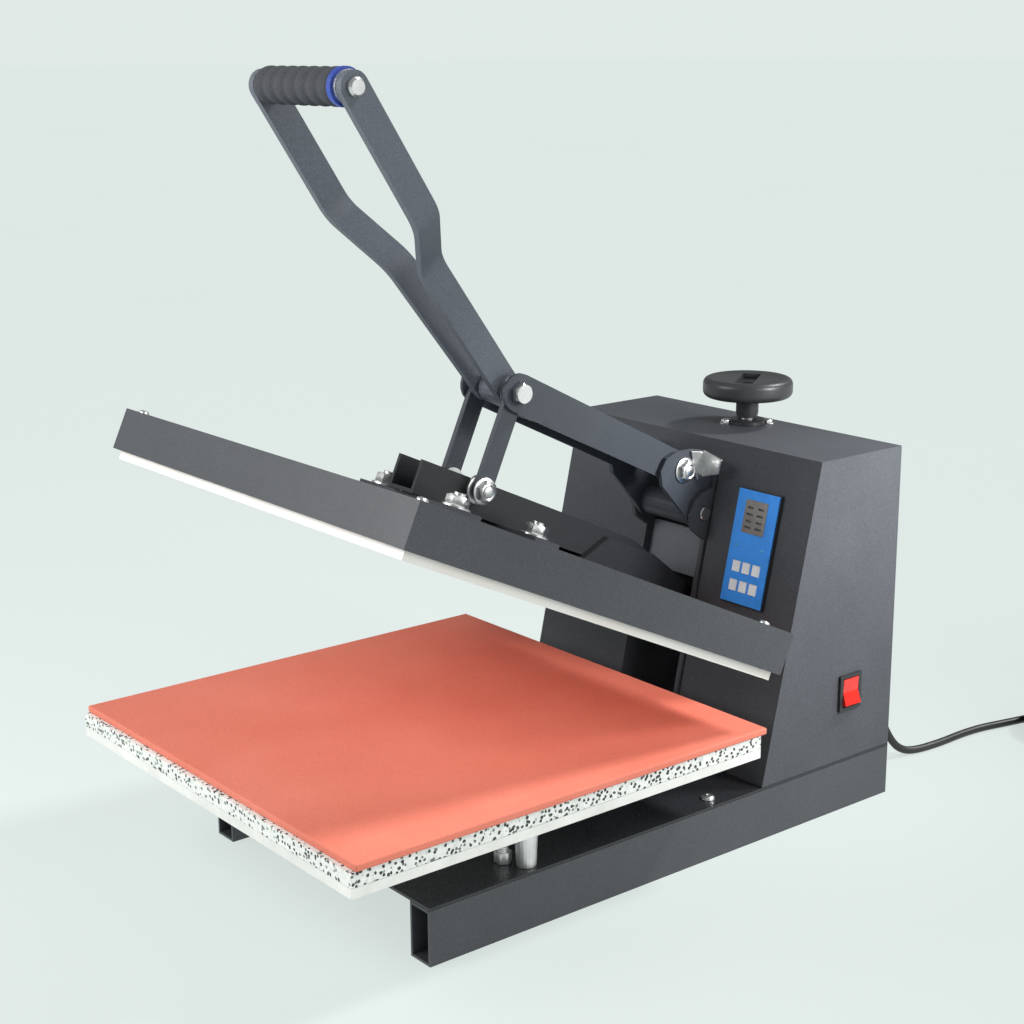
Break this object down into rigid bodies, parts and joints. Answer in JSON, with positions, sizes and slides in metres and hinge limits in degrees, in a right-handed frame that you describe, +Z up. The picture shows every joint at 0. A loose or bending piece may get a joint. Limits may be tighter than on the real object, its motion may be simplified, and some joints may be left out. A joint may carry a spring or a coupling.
{
  "type": "heat press",
  "caption": "Clamshell heat press with a padded lower platen, hinged heated upper platen, toggle lever handle, pressure knob and a control panel.",
  "frame": {"origin": "on the bench under the middle of the press, without its mains lead", "axes": "+X to the right of someone standing at the front, +Y towards the housing at the back, +Z up"},
  "size_m": [0.4118, 0.8736, 0.6163],
  "materials": {
    "powder_coat": "charcoal fine-textured powder coat",
    "handle_paint": "bluish charcoal paint, semi-matt",
    "zinc": "bright zinc-plated steel",
    "steel": "bare steel",
    "cream_paint": "cream paint",
    "speckled_board": "off-white with fine dark specks",
    "silicone": "salmon red silicone sponge",
    "foam": "dark grey foam",
    "blue_plastic": "blue plastic",
    "black_plastic": "black plastic",
    "panel_blue": "printed blue film",
    "button_white": "white plastic",
    "switch_red": "glossy red plastic",
    "aluminium": "cast plate, non-stick face",
    "insulation": "ceramic fibre",
    "board_green": "solder mask",
    "rubber": "black cable sheath"
  },
  "bodies": {
    "base": {"rail_left": "powder_coat", "rail_right": "powder_coat", "base_plate": "powder_coat", "front_post_left": "zinc", "front_post_right": "zinc", "rear_bracket": "powder_coat", "lower_plate": "cream_paint", "platen_board": "speckled_board", "silicone_pad": "silicone", "housing_shell": "powder_coat", "back_panel": "powder_coat", "mast_bracket": "powder_coat", "mast_front_plate": "powder_coat", "screw_bridge": "steel", "screw_bush": "zinc", "fulcrum_pin": "zinc", "hinge_shaft": "zinc", "hinge_spring": "steel", "panel_bezel": "black_plastic", "panel_face": "panel_blue", "controller_board": "board_green", "switch_bezel": "black_plastic", "cord_gland": "black_plastic", "cord_lead": "rubber", "cord_coil": "rubber", "mains_plug": "black_plastic"},
    "knob": {"pressure_knob": "black_plastic", "pressure_screw": "zinc"},
    "yoke": {"pressure_yoke": "steel", "trunnion_nut": "zinc", "lever_pivot_bolt": "zinc"},
    "lever": {"lever_arm": "handle_paint", "handle_block": "handle_paint", "handle_bar_left": "handle_paint", "handle_bar_right": "handle_paint", "elbow_pin": "zinc", "elbow_bolt_left": "zinc", "elbow_bolt_right": "zinc", "grip_rod": "zinc", "grip_sleeve": "foam", "grip_ring": "blue_plastic", "grip_washer": "zinc"},
    "platen": {"platen_cover": "powder_coat", "heat_plate": "aluminium", "insulation_pad": "insulation", "heating_element": "steel", "platen_channel": "powder_coat", "hinge_lugs": "powder_coat", "channel_strap_front": "zinc", "channel_strap_rear": "zinc", "link_pin": "zinc"},
    "links": {"toggle_link_left": "handle_paint", "toggle_link_right": "handle_paint"},
    "switch": {"power_switch": "switch_red"},
    "key_1": {"button_1": "button_white"},
    "key_2": {"button_2": "button_white"},
    "key_3": {"button_3": "button_white"},
    "key_4": {"button_4": "button_white"},
    "key_5": {"button_5": "button_white"},
    "key_6": {"button_6": "button_white"}
  },
  "joints": [
    {"name": "platen_hinge", "type": "hinge", "parent": "base", "child": "platen", "pos_m": [0, 0.1781, 0.1348], "axis": [1, 0, 0], "range_deg": [0, 24.87]},
    {"name": "knob_turn", "type": "hinge", "parent": "base", "child": "knob", "pos_m": [0, 0.26, 0.331], "axis": [0, 0, 1], "range_deg": [-720, 720]},
    {"name": "yoke_tilt", "type": "hinge", "parent": "base", "child": "yoke", "pos_m": [0, 0.173, 0.247], "axis": [1, 0, 0], "range_deg": [-1.6, 1.6]},
    {"name": "lever_hinge", "type": "hinge", "parent": "yoke", "child": "lever", "pos_m": [0, 0.1535, 0.2863], "axis": [1, 0, 0], "range_deg": [0, 47.8]},
    {"name": "link_hinge", "type": "hinge", "parent": "platen", "child": "links", "pos_m": [0, -0.05159, 0.29914], "axis": [1, 0, 0], "range_deg": [-69, 0]},
    {"name": "power_switch_rock", "type": "hinge", "parent": "base", "child": "switch", "pos_m": [0.145, 0.2367, 0.105], "axis": [0, 1, 0], "range_deg": [0, 16]},
    {"name": "button_1_press", "type": "slide", "parent": "base", "child": "key_1", "axis": [0, 0.9759, -0.2184], "range_m": [0, 0.0007], "stiffness_N_per_m": 400, "springref_m": -0.0005},
    {"name": "button_2_press", "type": "slide", "parent": "base", "child": "key_2", "axis": [0, 0.9759, -0.2184], "range_m": [0, 0.0007], "stiffness_N_per_m": 400, "springref_m": -0.0005},
    {"name": "button_3_press", "type": "slide", "parent": "base", "child": "key_3", "axis": [0, 0.9759, -0.2184], "range_m": [0, 0.0007], "stiffness_N_per_m": 400, "springref_m": -0.0005},
    {"name": "button_4_press", "type": "slide", "parent": "base", "child": "key_4", "axis": [0, 0.9759, -0.2184], "range_m": [0, 0.0007], "stiffness_N_per_m": 400, "springref_m": -0.0005},
    {"name": "button_5_press", "type": "slide", "parent": "base", "child": "key_5", "axis": [0, 0.9759, -0.2184], "range_m": [0, 0.0007], "stiffness_N_per_m": 400, "springref_m": -0.0005},
    {"name": "button_6_press", "type": "slide", "parent": "base", "child": "key_6", "axis": [0, 0.9759, -0.2184], "range_m": [0, 0.0007], "stiffness_N_per_m": 400, "springref_m": -0.0005}
  ],
  "couplings": [
    {"joint": "lever_hinge", "follows": "platen_hinge", "ratio": 1.9212},
    {"joint": "link_hinge", "follows": "platen_hinge", "ratio": -2.7732},
    {"joint": "yoke_tilt", "follows": "knob_turn", "ratio": 0.0021623}
  ]
}
